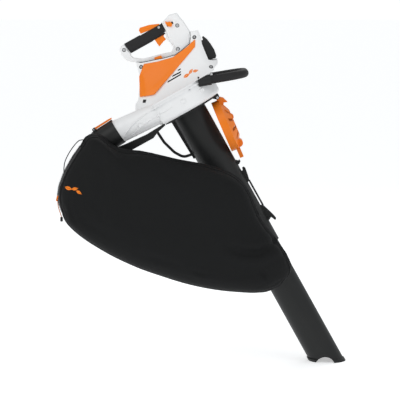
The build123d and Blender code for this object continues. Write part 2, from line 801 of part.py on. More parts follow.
def cut_holes(shape, places):
    """Take the screw holes out of a shell."""
    for spot in places:
        shape = shape - screw_hole(*spot)
    return shape


def flange_screws():
    """Four screws that hold the motor flange down on the fan housing."""
    screws = []
    for step in range(4):
        turn = Rot(0, 0, 45 + 90 * step)
        screws.append(turn * (rod(2.2, housing_top, -189, 41) + rod(4, -189, -186, 41)))
    return screws


def housing_screws():
    """Screws along the joint band of the fan housing, heads below the band."""
    places = [(-70, 122, -4, 0), (-22, 122, -4, 0), (-2, 122, -4, 0), (30, 114, 4, 0), (66, 114, 4, 0),
              (108, 106, 4, 8), (145, 106, 4, 8)]
    heads = []
    for angle, radius, centre_x, centre_y in places:
        x = centre_x + (radius + 2.6) * cos(radians(angle))
        y = centre_y + (radius + 2.6) * sin(radians(angle))
        heads.append(rod(2.2, -208, -204, x, y))
    return heads


def hinge_pin(x, z, low_y, high_y, radius=pin_radius):
    """A pin across a hinge, with a head at the near end."""
    return cross_rod(radius, low_y, high_y, x, z) + cross_rod(radius + 1.8, low_y - 1.4, low_y, x, z)


# ---- writing the files ---------------------------------------------------------------------------
def write(name, shapes):
    """Write one node. A list becomes a group of separate solids."""
    shapes = shapes if isinstance(shapes, list) else [shapes]
    solids = [solid for shape in shapes for solid in shape.solids()]
    export_step(Compound(children=solids) if len(solids) > 1 else solids[0], "parts/" + name + ".step")


def placed(shapes):
    """Tip one shape, or each of a list, into the row frame."""
    return [place(shape) for shape in shapes] if isinstance(shapes, list) else place(shapes)


def build():
    """Make every node, those drawn in the machine frame first."""
    handle = cut_holes(handle_frame(), handle_screw_places)
    lever_pin, trigger_pin = grip_pins()
    handle = handle - lever_pin - trigger_pin
    form = fan_form(0)
    cover = cut_holes(motor_cover() - form, cover_screw_places)
    housing = fan_housing()
    upper_room = block((-400, -300, housing_split), (400, 300, 0))
    lower_room = block((-400, -300, -400), (400, 300, housing_split))
    bar = loop_handle()
    sockets = [socket - cover_body(0) for socket in loop_sockets(form)]
    band = fan_flange() - sockets[0] - sockets[1]
    panel = side_panel()
    guides = [guide & cover_body(wall) for guide in battery_guides()]
    machine_nodes = {
        "handle_shell_near": handle & near_half,
        "handle_shell_far": handle & far_half,
        "grip_sleeve": grip_sleeve(),
        "ergo_lever": ergo_lever(),
        "trigger": trigger(),
        "grip_springs": [torsion_spring(*lever_pivot), torsion_spring(*trigger_pivot)],
        "grip_pins": [lever_pin, trigger_pin],
        "release_slide": release_slide(),
        "switch_module": switch_module(),
        "motor_cover_near": cover & near_half,
        "motor_cover_far": cover & far_half,
        "side_panel_near": panel,
        "side_panel_far": mirror(panel, Plane.XZ),
        "casing_screws": side_screws(handle_screw_places + cover_screw_places),
        "battery_release": battery_release(),
        "battery_pack": battery_pack(),
        "battery_guides": guides,
        "battery_contacts": battery_contacts(),
        "controller_board": controller_board(),
        "phase_wires": phase_wires(),
        "motor_can": motor_can(),
        "motor_stator": stator(),
        "stator_coils": stator_coils(),
        "motor_flange": motor_flange(),
        "flange_screws": flange_screws(),
        "shaft_bearings": [bearing(-127), bearing(housing_top)],
        "rotor_shaft": rotor_shaft(),
        "rotor_core": rotor_core(),
        "impeller": impeller(),
        "hub_spacer": hub_spacer(),
        "shredder_blade": shredder_blade(),
        "rotor_nut": rotor_nut(),
        "fan_housing_upper": housing & upper_room,
        "fan_housing_lower": housing & lower_room,
        "fan_flange": band,
        "housing_screws": housing_screws(),
        "intake_plate": intake_plate(),
        "elbow_arm": elbow_arm(),
        "loop_handle": bar,
        "loop_sockets": sockets,
        "intake_screen": intake_screen(),
        "screen_pin": hinge_pin(*screen_pivot, -24, 24),
        "suction_tube_upper": suction_tube_upper(),
        "tube_collar": tube_collar(),
        "tube_stay": tube_stay(),
        "tube_hook": tube_hook(),
        "strap_hook": strap_hook(),
        "bag_bracket": bag_bracket(),
        "tension_cord": tension_cord(),
    }
    row_nodes = {
        "suction_tube_lower": suction_tube_lower(),
        "outlet_elbow": outlet_elbow(),
        "bag_ring": bag_ring(),
        "latch_lugs": latch_lugs(),
        "latch_pin": latch_frame(hinge_pin(*latch_pivot, -16, 16)),
        "outlet_latch": outlet_latch(),
        "catcher_bag": catcher_bag(),
        "zipper_slider": zipper_slider(),
        "pull_cord": pull_cord(),
        "pull_knob": pull_knob(),
        "hand_loop": hand_loop(),
    }
    for name, shapes in machine_nodes.items():
        write(name, placed(shapes))
    for name, shapes in row_nodes.items():
        write(name, shapes)


os.makedirs("parts", exist_ok=True)
build()
print("pull cord radii", [round(radius, 1) for radius in cord_radii(pull_route)])
print("hand loop radii", [round(radius, 1) for radius in cord_radii(loop_route)])
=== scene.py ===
import bpy
import json
from math import atan2, cos, pi, radians, sin
from mathutils import Matrix, Vector
from mathutils.bvhtree import BVHTree


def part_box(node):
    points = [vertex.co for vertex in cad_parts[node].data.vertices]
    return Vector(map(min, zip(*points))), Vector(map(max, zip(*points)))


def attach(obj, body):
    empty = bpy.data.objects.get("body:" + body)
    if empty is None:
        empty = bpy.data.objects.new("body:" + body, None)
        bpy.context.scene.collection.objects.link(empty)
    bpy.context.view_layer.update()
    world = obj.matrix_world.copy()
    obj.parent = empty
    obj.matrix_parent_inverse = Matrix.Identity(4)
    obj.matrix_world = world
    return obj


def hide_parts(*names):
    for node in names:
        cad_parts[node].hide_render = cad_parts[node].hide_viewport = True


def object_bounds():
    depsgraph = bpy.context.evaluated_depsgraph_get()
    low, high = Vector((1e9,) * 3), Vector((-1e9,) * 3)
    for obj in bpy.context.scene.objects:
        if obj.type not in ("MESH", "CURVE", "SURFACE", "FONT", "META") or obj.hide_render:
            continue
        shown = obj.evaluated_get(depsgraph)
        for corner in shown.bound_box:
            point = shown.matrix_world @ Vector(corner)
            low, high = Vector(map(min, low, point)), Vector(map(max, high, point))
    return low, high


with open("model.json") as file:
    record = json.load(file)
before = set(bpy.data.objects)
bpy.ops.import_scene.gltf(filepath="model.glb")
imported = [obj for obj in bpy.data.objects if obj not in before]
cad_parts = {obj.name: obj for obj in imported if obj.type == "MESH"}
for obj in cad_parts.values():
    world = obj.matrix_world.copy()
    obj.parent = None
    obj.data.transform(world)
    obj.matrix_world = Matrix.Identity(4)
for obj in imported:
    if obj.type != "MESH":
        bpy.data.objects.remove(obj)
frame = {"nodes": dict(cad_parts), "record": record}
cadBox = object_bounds()
cadNodes = frame["nodes"]
print("frame loaded,", len(cadNodes), "nodes")

# the casing is drawn upright and tipped back as it is carried, about the fan axis behind the grip
carrying = {"tilt": 29.0, "axisAhead": 0.0093}
leanBack = Matrix.Rotation(-radians(carrying["tilt"]), 4, "Y")
tipBack = leanBack @ Matrix.Translation((carrying["axisAhead"], 0, 0))


# small helpers
def dropSelection():
    if bpy.context.object and bpy.context.object.mode != "OBJECT":
        bpy.ops.object.mode_set(mode="OBJECT")
    bpy.ops.object.select_all(action="DESELECT")


def pick(piece):
    dropSelection()
    piece.select_set(True)
    bpy.context.view_layer.objects.active = piece


def pickFaces(piece, wanted):  # selects the faces that wanted() accepts and stays in edit mode
    pick(piece)
    bpy.ops.object.mode_set(mode="EDIT")
    bpy.ops.mesh.select_mode(type="FACE")
    bpy.ops.mesh.select_all(action="DESELECT")
    bpy.ops.object.mode_set(mode="OBJECT")
    for face in piece.data.polygons:
        face.select = wanted(face)
    bpy.ops.object.mode_set(mode="EDIT")


def useModifier(piece, kind, **settings):  # adds a modifier and applies it at once
    pick(piece)
    modifier = piece.modifiers.new(kind.lower(), kind)
    for key, value in settings.items():
        setattr(modifier, key, value)
    bpy.ops.object.modifier_apply(modifier=modifier.name)


def settle(piece, name, body, material, smooth=35.0):  # cleans, names and registers a piece
    pick(piece)
    bpy.ops.object.transform_apply(location=True, rotation=True, scale=True)
    bpy.ops.object.mode_set(mode="EDIT")
    bpy.ops.mesh.select_all(action="SELECT")
    bpy.ops.mesh.remove_doubles(threshold=0.00002)
    bpy.ops.mesh.normals_make_consistent(inside=False)
    bpy.ops.object.mode_set(mode="OBJECT")
    if smooth:
        bpy.ops.object.shade_smooth_by_angle(angle=radians(smooth))
    piece.name = name
    piece.data.name = name
    piece.data.materials.clear()
    piece.data.materials.append(material)
    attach(piece, body)
    return piece


# camera
cameraView = {"aimShift": (-0.012, 0.0, -0.037), "distance": 5.2, "elevation": 7.0, "frameWidth": 1.28}


def placeCamera():
    low, high = cadBox
    middle = (low + high) / 2
    aim = Vector((middle.x, 0, middle.z)) + Vector(cameraView["aimShift"])
    drop = radians(cameraView["elevation"])
    spot = aim + Vector((0, -cos(drop), sin(drop))) * cameraView["distance"]
    bpy.ops.object.camera_add(location=spot, rotation=(pi / 2 - drop, 0, 0))
    camera = bpy.context.object
    camera.name = "frontCamera"
    camera.data.lens = camera.data.sensor_width * cameraView["distance"] / cameraView["frameWidth"]
    camera.data.clip_end = 100
    bpy.context.scene.camera = camera


placeCamera()
print("camera placed")


# shader node groups
def newGroup(name, inputs, outputs):  # inputs: name, default; outputs: name, kind
    group = bpy.data.node_groups.new(name, "ShaderNodeTree")
    for label, value in inputs:
        socket = group.interface.new_socket(label, in_out="INPUT", socket_type="NodeSocketFloat")
        socket.default_value = value
    for label, kind in outputs:
        group.interface.new_socket(label, in_out="OUTPUT", socket_type="NodeSocket" + kind)
    return group, group.nodes.new("NodeGroupInput"), group.nodes.new("NodeGroupOutput")


def addNode(tree, kind, place=(0, 0), **settings):
    node = tree.nodes.new("ShaderNode" + kind)
    node.location = place
    for key, value in settings.items():
        setattr(node, key, value)
    return node


def calc(tree, operation, first, second=None, third=None, clamp=False):  # fed by sockets or numbers
    node = addNode(tree, "Math", operation=operation, use_clamp=clamp)
    for socket, value in zip(node.inputs, (first, second, third)):
        if isinstance(value, (int, float)):
            socket.default_value = value
        elif value is not None:
            tree.links.new(value, socket)
    return node.outputs[0]


def edgeWearAndHighlightGroup():  # rubbed edges and a painted edge highlight: brighter where a small bevel would turn the normal
    group, given, result = newGroup("edgeWearAndHighlight", [("Radius", 0.0012), ("Amount", 1.0)], [("WornAndHighlit", "Float")])
    bevel = addNode(group, "Bevel", samples=4)
    geometry = addNode(group, "NewGeometry")
    alike = addNode(group, "VectorMath", operation="DOT_PRODUCT")
    patches = addNode(group, "TexNoise")
    where = addNode(group, "TexCoord")
    patches.inputs["Scale"].default_value = 45
    patches.inputs["Detail"].default_value = 4
    link = group.links.new
    link(given.outputs["Radius"], bevel.inputs["Radius"])
    link(bevel.outputs["Normal"], alike.inputs[0])
    link(geometry.outputs["Normal"], alike.inputs[1])
    link(where.outputs["Object"], patches.inputs["Vector"])
    edge = calc(group, "SUBTRACT", 1.0, alike.outputs["Value"])
    edge = calc(group, "MULTIPLY", edge, 5.0, clamp=True)
    # the edge mask is partly wear and partly painted highlight
    broken = calc(group, "MULTIPLY", edge, patches.outputs["Fac"])
    link(calc(group, "MULTIPLY", broken, given.outputs["Amount"], clamp=True), result.inputs["WornAndHighlit"])
    return group


def mouldGrainGroup():  # spark-eroded mould texture with a slow unevenness under it
    inputs = [("Scale", 900.0), ("Depth", 1.0), ("Waviness", 0.3)]
    group, given, result = newGroup("mouldGrain", inputs, [("Height", "Float"), ("Mottle", "Float")])
    where = addNode(group, "TexCoord")
    fine = addNode(group, "TexNoise")
    pits = addNode(group, "TexVoronoi")
    slow = addNode(group, "TexNoise")
    fine.inputs["Detail"].default_value = 3
    slow.inputs["Scale"].default_value = 9
    slow.inputs["Detail"].default_value = 2
    link = group.links.new
    for texture in (fine, pits, slow):
        link(where.outputs["Object"], texture.inputs["Vector"])
    link(given.outputs["Scale"], fine.inputs["Scale"])
    link(calc(group, "MULTIPLY", given.outputs["Scale"], 0.6), pits.inputs["Scale"])
    grain = calc(group, "ADD", fine.outputs["Fac"], calc(group, "MULTIPLY", pits.outputs["Distance"], 0.5))
    height = calc(group, "MULTIPLY", grain, given.outputs["Depth"])
    wavy = calc(group, "MULTIPLY", slow.outputs["Fac"], given.outputs["Waviness"])
    link(calc(group, "ADD", height, wavy), result.inputs["Height"])
    link(slow.outputs["Fac"], result.inputs["Mottle"])
    return group


def dustGroup():  # a thin film of garden dust, more on what faces up
    group, given, result = newGroup("gardenDust", [("Amount", 0.2), ("Scale", 14.0)], [("Dusty", "Float")])
    geometry = addNode(group, "NewGeometry")
    where = addNode(group, "TexCoord")
    split = addNode(group, "SeparateXYZ")
    cloud = addNode(group, "TexNoise")
    specks = addNode(group, "TexNoise")
    cloud.inputs["Detail"].default_value = 5
    specks.inputs["Scale"].default_value = 420
    link = group.links.new
    link(geometry.outputs["Normal"], split.inputs[0])
    link(where.outputs["Object"], cloud.inputs["Vector"])
    link(where.outputs["Object"], specks.inputs["Vector"])
    link(given.outputs["Scale"], cloud.inputs["Scale"])
    facing = calc(group, "MULTIPLY_ADD", split.outputs["Z"], 0.4, 0.6)
    cover = calc(group, "MULTIPLY", facing, cloud.outputs["Fac"])
    cover = calc(group, "MULTIPLY", cover, calc(group, "MULTIPLY_ADD", specks.outputs["Fac"], 0.7, 0.65))
    link(calc(group, "MULTIPLY", cover, given.outputs["Amount"], clamp=True), result.inputs["Dusty"])
    return group


def weaveGroup():  # plain weave on a map in metres: warp over weft in alternate squares
    outputs = [("Height", "Float"), ("Thread", "Float")]
    group, given, result = newGroup("plainWeave", [("Pitch", 0.0016)], outputs)
    uv = addNode(group, "UVMap", uv_map="clothMap")
    split = addNode(group, "SeparateXYZ")
    link = group.links.new
    link(uv.outputs["UV"], split.inputs[0])
    halfTurn = calc(group, "DIVIDE", pi, given.outputs["Pitch"])
    across = calc(group, "MULTIPLY", split.outputs["X"], halfTurn)
    along = calc(group, "MULTIPLY", split.outputs["Y"], halfTurn)
    warp = calc(group, "ABSOLUTE", calc(group, "SINE", across))
    weft = calc(group, "ABSOLUTE", calc(group, "SINE", along))
    over = calc(group, "SINE", calc(group, "ADD", across, pi / 2))
    over = calc(group, "MULTIPLY", over, calc(group, "SINE", calc(group, "ADD", along, pi / 2)))
    chosen = calc(group, "GREATER_THAN", over, 0.0)
    top = calc(group, "MULTIPLY", warp, chosen)
    under = calc(group, "MULTIPLY", weft, calc(group, "SUBTRACT", 1.0, chosen))
    height = calc(group, "ADD", top, under)
    link(height, result.inputs["Height"])
    link(chosen, result.inputs["Thread"])
    return group


edgeWearAndHighlight = edgeWearAndHighlightGroup()
mouldGrain = mouldGrainGroup()
gardenDust = dustGroup()
plainWeave = weaveGroup()
print("node groups built")


# materials
def startMaterial(name, roughness, **shaderValues):
    material = bpy.data.materials.new(name)
    material.use_nodes = True
    shader = material.node_tree.nodes["Principled BSDF"]
    shader.inputs["Roughness"].default_value = roughness
    for label, value in shaderValues.items():
        shader.inputs[label.replace("_", " ")].default_value = value
    return material, material.node_tree, shader


def useGroup(tree, group, **values):
    node = addNode(tree, "Group")
    node.node_tree = group
    for label, value in values.items():
        node.inputs[label].default_value = value
    return node


def blendColour(tree, mask, first, second):  # each a colour or a socket
    node = addNode(tree, "Mix", data_type="RGBA")
    tree.links.new(mask, node.inputs[0])
    for socket, value in ((node.inputs[6], first), (node.inputs[7], second)):
        if isinstance(value, tuple):
            socket.default_value = (*value, 1)
        else:
            tree.links.new(value, socket)
    return node.outputs[2]


def bumpFrom(tree, shader, height, strength, distance):
    bump = addNode(tree, "Bump")
    bump.inputs["Strength"].default_value = strength
    bump.inputs["Distance"].default_value = distance
    tree.links.new(height, bump.inputs["Height"])
    tree.links.new(bump.outputs["Normal"], shader.inputs["Normal"])


def mouldedPlastic(name, colour, shade, wornHighlightColour, roughness, grain, depth, dust):
    material, tree, shader = startMaterial(name, roughness, Specular_IOR_Level=0.3)
    texture = useGroup(tree, mouldGrain, Scale=grain, Depth=1.0, Waviness=0.5)
    wearAndHighlight = useGroup(tree, edgeWearAndHighlight, Radius=0.0009, Amount=0.8)
    film = useGroup(tree, gardenDust, Amount=dust)
    base = blendColour(tree, texture.outputs["Mottle"], colour, shade)
    # painted highlight with wear: edges take the third, brighter colour
    base = blendColour(tree, wearAndHighlight.outputs["WornAndHighlit"], base, wornHighlightColour)
    base = blendColour(tree, film.outputs["Dusty"], base, (0.42, 0.37, 0.29))
    tree.links.new(base, shader.inputs["Base Color"])
    rough = calc(tree, "MULTIPLY_ADD", texture.outputs["Mottle"], 0.16, roughness - 0.08)
    tree.links.new(calc(tree, "ADD", rough, film.outputs["Dusty"], clamp=True), shader.inputs["Roughness"])
    bumpFrom(tree, shader, texture.outputs["Height"], depth, 0.0002)
    return material


def softRubber(name):
    material, tree, shader = startMaterial(name, 0.66, Specular_IOR_Level=0.22)
    texture = useGroup(tree, mouldGrain, Scale=1500.0, Depth=0.8, Waviness=0.8)
    where = addNode(tree, "TexCoord")
    knurl = addNode(tree, "TexVoronoi", feature="F1", distance="CHEBYCHEV")
    knurl.inputs["Scale"].default_value = 420
    knurl.inputs["Randomness"].default_value = 0.12
    tree.links.new(where.outputs["Object"], knurl.inputs["Vector"])
    film = useGroup(tree, gardenDust, Amount=0.02)
    base = blendColour(tree, texture.outputs["Mottle"], (0.012, 0.012, 0.013), (0.022, 0.022, 0.023))
    base = blendColour(tree, film.outputs["Dusty"], base, (0.3, 0.27, 0.22))
    tree.links.new(base, shader.inputs["Base Color"])
    height = calc(tree, "MULTIPLY_ADD", knurl.outputs["Distance"], 0.9, texture.outputs["Height"])
    bumpFrom(tree, shader, height, 0.35, 0.0004)
    return material


def wovenCloth(name, colour, shade, pitch, strength):
    material, tree, shader = startMaterial(name, 0.85, Specular_IOR_Level=0.14)
    weave = useGroup(tree, plainWeave, Pitch=pitch)
    texture = useGroup(tree, mouldGrain, Scale=260.0, Depth=0.5, Waviness=1.5)
    film = useGroup(tree, gardenDust, Amount=0.02, Scale=5.0)
    base = blendColour(tree, weave.outputs["Thread"], colour, shade)
    base = blendColour(tree, film.outputs["Dusty"], base, (0.12, 0.115, 0.10))
    tree.links.new(base, shader.inputs["Base Color"])
    rough = calc(tree, "MULTIPLY_ADD", weave.outputs["Height"], -0.12, 0.82)
    tree.links.new(rough, shader.inputs["Roughness"])
    height = calc(tree, "MULTIPLY_ADD", texture.outputs["Mottle"], 1.2, weave.outputs["Height"])
    bumpFrom(tree, shader, height, strength, 0.0004)
    return material


def braidedCord(name, colour, shade, turns):
    material, tree, shader = startMaterial(name, 0.7, Sheen_Weight=0.15)
    where = addNode(tree, "TexCoord")
    strands = []
    for lean in (38, -38):  # two sets of strands wound opposite ways
        turned = addNode(tree, "Mapping")
        turned.inputs["Rotation"].default_value = (radians(lean), 0, radians(lean))
        wave = addNode(tree, "TexWave", bands_direction="Z")
        wave.inputs["Scale"].default_value = turns
        tree.links.new(where.outputs["Object"], turned.inputs["Vector"])
        tree.links.new(turned.outputs["Vector"], wave.inputs["Vector"])
        strands.append(wave.outputs["Fac"])
    height = calc(tree, "MAXIMUM", strands[0], strands[1])
    # painted shade: the low parts between strands take the darker colour, from the same height as the bump
    tree.links.new(blendColour(tree, height, shade, colour), shader.inputs["Base Color"])
    bumpFrom(tree, shader, height, 0.6, 0.0004)
    return material


def metalFinish(name, colour, shade, roughness, stretch, strength):
    material, tree, shader = startMaterial(name, roughness, Metallic=1.0)
    where = addNode(tree, "TexCoord")
    brushed = addNode(tree, "Mapping")
    brushed.inputs["Scale"].default_value = stretch
    lines = addNode(tree, "TexNoise")
    lines.inputs["Scale"].default_value = 120
    lines.inputs["Detail"].default_value = 5
    wearAndHighlight = useGroup(tree, edgeWearAndHighlight, Radius=0.0006, Amount=0.9)
    tree.links.new(where.outputs["Object"], brushed.inputs["Vector"])
    tree.links.new(brushed.outputs["Vector"], lines.inputs["Vector"])
    base = blendColour(tree, lines.outputs["Fac"], shade, colour)
    # painted highlight with wear: edges take the colour made 1.3 times brighter
    base = blendColour(tree, wearAndHighlight.outputs["WornAndHighlit"], base, tuple(min(1.0, c * 1.3) for c in colour))
    tree.links.new(base, shader.inputs["Base Color"])
    rough = calc(tree, "MULTIPLY_ADD", lines.outputs["Fac"], 0.2, roughness - 0.1)
    tree.links.new(rough, shader.inputs["Roughness"])
    bumpFrom(tree, shader, lines.outputs["Fac"], strength, 0.0002)
    return material


def stackedLaminations(name):
    material, tree, shader = startMaterial(name, 0.45, Metallic=1.0)
    where = addNode(tree, "TexCoord")
    turned = addNode(tree, "Mapping")
    turned.inputs["Rotation"].default_value = (0, radians(carrying["tilt"]), 0)
    sheets = addNode(tree, "TexWave", bands_direction="Z")
    sheets.inputs["Scale"].default_value = 320
    sheets.inputs["Distortion"].default_value = 0.4
    tree.links.new(where.outputs["Object"], turned.inputs["Vector"])
    tree.links.new(turned.outputs["Vector"], sheets.inputs["Vector"])
    steel = blendColour(tree, sheets.outputs["Fac"], (0.09, 0.09, 0.1), (0.34, 0.34, 0.36))
    tree.links.new(steel, shader.inputs["Base Color"])
    bumpFrom(tree, shader, sheets.outputs["Fac"], 0.5, 0.0003)
    return material


def enamelledWire(name):
    material, tree, shader = startMaterial(name, 0.3, Metallic=0.9, Coat_Weight=0.5)
    where = addNode(tree, "TexCoord")
    turned = addNode(tree, "Mapping")
    turned.inputs["Rotation"].default_value = (0, radians(carrying["tilt"]), 0)
    wires = addNode(tree, "TexWave", bands_direction="Z")
    wires.inputs["Scale"].default_value = 260
    tree.links.new(where.outputs["Object"], turned.inputs["Vector"])
    tree.links.new(turned.outputs["Vector"], wires.inputs["Vector"])
    # painted shade: the copper is darker in the grooves between the wires, from the same waves as the bump
    copperWithGrooveShade = blendColour(tree, wires.outputs["Fac"], (0.28, 0.09, 0.03), (0.78, 0.33, 0.14))
    tree.links.new(copperWithGrooveShade, shader.inputs["Base Color"])
    bumpFrom(tree, shader, wires.outputs["Fac"], 0.7, 0.0004)
    return material


def circuitBoard(name):
    material, tree, shader = startMaterial(name, 0.35, Coat_Weight=0.3)
    where = addNode(tree, "TexCoord")
    tracks = addNode(tree, "TexVoronoi", feature="DISTANCE_TO_EDGE", distance="EUCLIDEAN")
    tracks.inputs["Scale"].default_value = 260
    tracks.inputs["Randomness"].default_value = 0.35
    tree.links.new(where.outputs["Object"], tracks.inputs["Vector"])
    line = calc(tree, "LESS_THAN", tracks.outputs["Distance"], 0.06)
    lacquer = blendColour(tree, line, (0.012, 0.09, 0.03), (0.04, 0.2, 0.08))
    tree.links.new(lacquer, shader.inputs["Base Color"])
    bumpFrom(tree, shader, line, 0.4, 0.0001)
    return material


finishes = {
    # the third colour of each moulded plastic is its edge colour: rubbed wear and painted highlight
    "white_plastic": mouldedPlastic(
        "paleHousingPlastic", (0.80, 0.805, 0.81), (0.86, 0.865, 0.87), (0.93, 0.93, 0.93),
        roughness=0.38, grain=1300.0, depth=0.12, dust=0.02),
    "orange_plastic": mouldedPlastic(
        "orangePlastic", (0.84, 0.185, 0.004), (0.92, 0.225, 0.006), (1.0, 0.40, 0.08),
        roughness=0.40, grain=1100.0, depth=0.12, dust=0.01),
    "black_plastic": mouldedPlastic(
        "blackTubePlastic", (0.008, 0.009, 0.0092), (0.012, 0.013, 0.0135), (0.06, 0.06, 0.062),
        roughness=0.46, grain=800.0, depth=0.3, dust=0.015),
    "grip_rubber": softRubber("gripRubber"),
    "bag_fabric": wovenCloth(
        "bagCloth", (0.006, 0.0065, 0.0068), (0.010, 0.0105, 0.011), pitch=0.0016, strength=0.5),
    "cord_black": braidedCord("blackBraid", (0.02, 0.02, 0.021), (0.006, 0.006, 0.006), turns=150),
    "cord_orange": braidedCord("orangeBraid", (0.8, 0.24, 0.03), (0.4, 0.09, 0.01), turns=260),
    "steel": metalFinish(
        "screwSteel", (0.62, 0.62, 0.63), (0.42, 0.42, 0.43),
        roughness=0.32, stretch=(1, 1, 14), strength=0.15),
    "cast_aluminium": metalFinish(
        "castAluminium", (0.7, 0.71, 0.72), (0.5, 0.51, 0.52),
        roughness=0.48, stretch=(1, 1, 1), strength=0.4),
    "laminations": stackedLaminations("laminatedSteel"),
    "winding_copper": enamelledWire("copperWinding"),
    "board_green": circuitBoard("circuitBoard"),
}


def dressNodes():  # every carried-over node takes the finish of its record slot
    for part in frame["record"]["subparts"]:
        node = cadNodes[part["node"]]
        node.data.materials.clear()
        node.data.materials.append(finishes[part["material_slot"]])


dressNodes()
print("materials given to the CAD nodes")


# cords
cordShapes = {
    "tension": {"radius": 0.003, "points": [(0.3310, 0, -0.4511), (0.3761, 0, -0.5324)]},
    "pull": {"radius": 0.00125, "points": [
        (-0.2675, -0.150, -0.497), (-0.2675, -0.1505, -0.511), (-0.2645, -0.151, -0.525),
        (-0.260, -0.150, -0.538), (-0.2565, -0.149, -0.551)]},
    "handLoop": {"radius": 0.0015, "points": [
        (-0.183, -0.152, -0.310), (-0.196, -0.153, -0.3085), (-0.210, -0.154, -0.321),
        (-0.225, -0.155, -0.341), (-0.238, -0.155, -0.363), (-0.247, -0.154, -0.386),
        (-0.2475, -0.153, -0.408)]},
}


def layCord(name, shape, node, slotName):
    line = bpy.data.curves.new(name, "CURVE")
    line.dimensions = "3D"
    line.bevel_depth = shape["radius"]
    line.bevel_resolution = 4
    line.use_fill_caps = True
    spline = line.splines.new("NURBS")
    spline.points.add(len(shape["points"]) - 1)
    for point, place in zip(spline.points, shape["points"]):
        point.co = (*place, 1)
    spline.order_u = 3
    spline.use_endpoint_u = True
    spline.resolution_u = 12
    cord = bpy.data.objects.new(name, line)
    bpy.context.scene.collection.objects.link(cord)
    line.materials.append(finishes[slotName])
    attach(cord, "root")
    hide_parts(node)
    return cord


def layCords():
    tension = layCord("bagElastic", cordShapes["tension"], "tension_cord", "cord_black")
    pull = layCord("zipperPullCord", cordShapes["pull"], "pull_cord", "cord_orange")
    loop = layCord("bagHandLoop", cordShapes["handLoop"], "hand_loop", "cord_black")


layCords()
print("cords laid")


# floor and light
studio = {
    "floorSize": 900.0, "floorGlow": 0.46, "sky": 0.6, "backdrop": 1.05,
    "keyPower": 34.0, "fillPower": 9.0, "rimPower": 20.0,
}


def areaLight(name, place, aim, size, power, colour):
    bpy.ops.object.light_add(type="AREA", location=place)
    lamp = bpy.context.object
    lamp.name = name
    lamp.data.shape = "DISK"
    lamp.data.size = size
    lamp.data.energy = power
    lamp.data.color = colour
    direction = Vector(aim) - Vector(place)
    lamp.rotation_euler = direction.to_track_quat("-Z", "Y").to_euler()


def buildStudio():
    low, high = cadBox
    bpy.ops.mesh.primitive_plane_add(size=studio["floorSize"], location=(0, 0, low.z))
    floor = bpy.context.object
    floor.name = "studioFloor"
    paper = bpy.data.materials.new("studioPaper")
    paper.use_nodes = True
    sheet = paper.node_tree.nodes["Principled BSDF"]
    sheet.inputs["Base Color"].default_value = (0.88, 0.895, 0.9, 1)
    sheet.inputs["Roughness"].default_value = 0.9
    sheet.inputs["Emission Color"].default_value = (1, 1, 1, 1)
    sheet.inputs["Emission Strength"].default_value = studio["floorGlow"]
    floor.data.materials.append(paper)
    aim = (low + high) / 2
    areaLight("keySoftbox", (-1.6, -2.6, 2.2), aim, 2.4, studio["keyPower"], (1.0, 0.99, 0.97))
    areaLight("fillSoftbox", (2.6, -2.2, 0.9), aim, 2.2, studio["fillPower"], (0.97, 0.98, 1.0))
    areaLight("rimSoftbox", (0.6, 2.4, 1.9), aim, 1.8, studio["rimPower"], (1.0, 1.0, 1.0))
    world = bpy.context.scene.world or bpy.data.worlds.new("studioWorld")
    bpy.context.scene.world = world
    world.use_nodes = True
    sky = world.node_tree.nodes["Background"]
    sky.inputs["Color"].default_value = (0.97, 0.985, 1.0, 1)
    tree = world.node_tree
    seen = tree.nodes.new("ShaderNodeLightPath")  # the backdrop looks white, and lights less than it looks
    strength = tree.nodes.new("ShaderNodeMix")
    strength.inputs[2].default_value = studio["sky"]
    strength.inputs[3].default_value = studio["backdrop"]
    tree.links.new(seen.outputs["Is Camera Ray"], strength.inputs[0])
    tree.links.new(strength.outputs[0], sky.inputs["Strength"])
    bpy.context.scene.view_settings.view_transform = "Standard"


buildStudio()
print("studio built")


# catcher bag
bagShape = {
    "middle": (0.095, -0.550),
    "outline": [  # seen from the side, X and Z, from the neck round the zipped end
        (-0.161, -0.289), (-0.197, -0.328), (-0.231, -0.380), (-0.255, -0.430), (-0.267, -0.484),
        (-0.251, -0.538), (-0.213, -0.582), (-0.149, -0.630), (-0.045, -0.686), (0.061, -0.726),
        (0.167, -0.757), (0.298, -0.775), (0.392, -0.773), (0.441, -0.750), (0.461, -0.716),
        (0.456, -0.688), (0.420, -0.627), (0.372, -0.563),
        (0.302, -0.430), (0.212, -0.388), (0.110, -0.368), (-0.006, -0.342), (-0.080, -0.335)],
    "seamY": -0.150, "frontDepth": 0.094, "backDepth": 0.084, "rings": 9,
    "frontRound": 0.62, "backRound": 0.50,
    "meshSize": 0.0085, "foldDepth": 0.0048,
}
inflation = {
    "steps": 18, "mostMove": 0.009, "gravity": 0.2,  # mostMove caps how far the cloth leaves its outline
    "seamHold": 0.9, "seamReach": 0.011, "neckReach": 0.12,
}
bagClothSettings = {
    "quality": 5, "mass": 0.25, "tension_stiffness": 14, "compression_stiffness": 14, "shear_stiffness": 6,
    "bending_stiffness": 0.35, "use_pressure": True, "uniform_pressure_force": 3.0, "shrink_min": -0.02,
}
